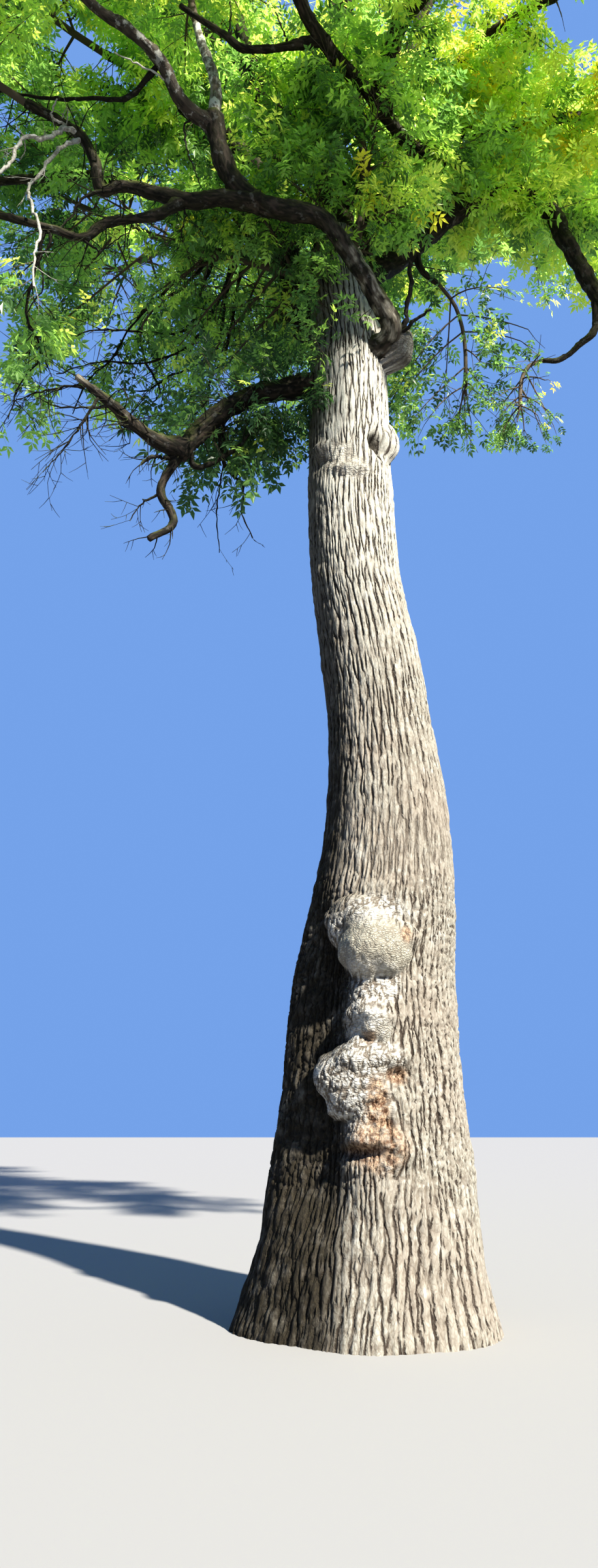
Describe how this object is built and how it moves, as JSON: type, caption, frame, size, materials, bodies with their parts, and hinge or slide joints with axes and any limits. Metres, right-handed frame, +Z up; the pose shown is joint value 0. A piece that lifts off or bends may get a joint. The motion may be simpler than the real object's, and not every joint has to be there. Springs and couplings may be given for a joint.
{
  "type": "oregon ash tree",
  "caption": "Old broadleaf tree with a tall burled trunk, a high fork, long bent boughs, a broken dead bough and an open crown of compound leaves.",
  "frame": {"origin": "middle of the flat cut under the trunk, at ground level", "axes": "+Z up along the trunk, -Y toward the side that the picture shows, +X to that view's right"},
  "size_m": [14.5315, 13.506, 21.214],
  "materials": {
    "trunk_bark": "deeply furrowed pale grey bark",
    "bough_bark": "rough grey-brown bark with moss and lichen",
    "dead_wood": "weathered bare wood",
    "leaves": "satin green leaves, some turning yellow"
  },
  "bodies": {
    "root": {"back_bough": "bough_bark", "back_left_bough": "bough_bark", "back_right_bough": "bough_bark", "centre_back_bough": "bough_bark", "centre_leader": "bough_bark", "dead_bough": "dead_wood", "dead_bough_tip": "dead_wood", "dead_hanging_branch": "dead_wood", "far_left_bough": "bough_bark", "far_right_bough": "bough_bark", "foliage_back": "leaves", "foliage_back_left": "leaves", "foliage_back_right": "leaves", "foliage_centre_back": "leaves", "foliage_far_left": "leaves", "foliage_far_right": "leaves", "foliage_fork": "leaves", "foliage_front": "leaves", "foliage_front_high": "leaves", "foliage_front_left": "leaves", "foliage_front_right": "leaves", "foliage_front_top": "leaves", "foliage_left": "leaves", "foliage_left_front": "leaves", "foliage_left_high": "leaves", "foliage_left_low": "leaves", "foliage_right_back": "leaves", "foliage_right_end": "leaves", "foliage_right_front": "leaves", "foliage_right_spray": "leaves", "foliage_top": "leaves", "foliage_top_back": "leaves", "foliage_top_left": "leaves", "foliage_trunk_left": "leaves", "foliage_trunk_right": "leaves", "foliage_upper_left": "leaves", "foliage_upper_right": "leaves", "front_bough": "bough_bark", "front_bough_reach": "bough_bark", "front_bough_upright": "bough_bark", "front_right_bough": "bough_bark", "front_top_bough": "bough_bark", "left_bough": "bough_bark", "left_high_bough": "bough_bark", "left_leader": "bough_bark", "left_low_bough": "bough_bark", "left_low_branch": "bough_bark", "over_bough": "bough_bark", "over_branch": "dead_wood", "right_back_bough": "bough_bark", "right_bough": "bough_bark", "right_bough_fall": "bough_bark", "right_front_bough": "bough_bark", "right_hanging_branch": "bough_bark", "right_inner_branch": "bough_bark", "right_leader": "bough_bark", "top_back_bough": "bough_bark", "trunk": "trunk_bark", "upper_left_bough": "bough_bark"}
  },
  "joints": []
}
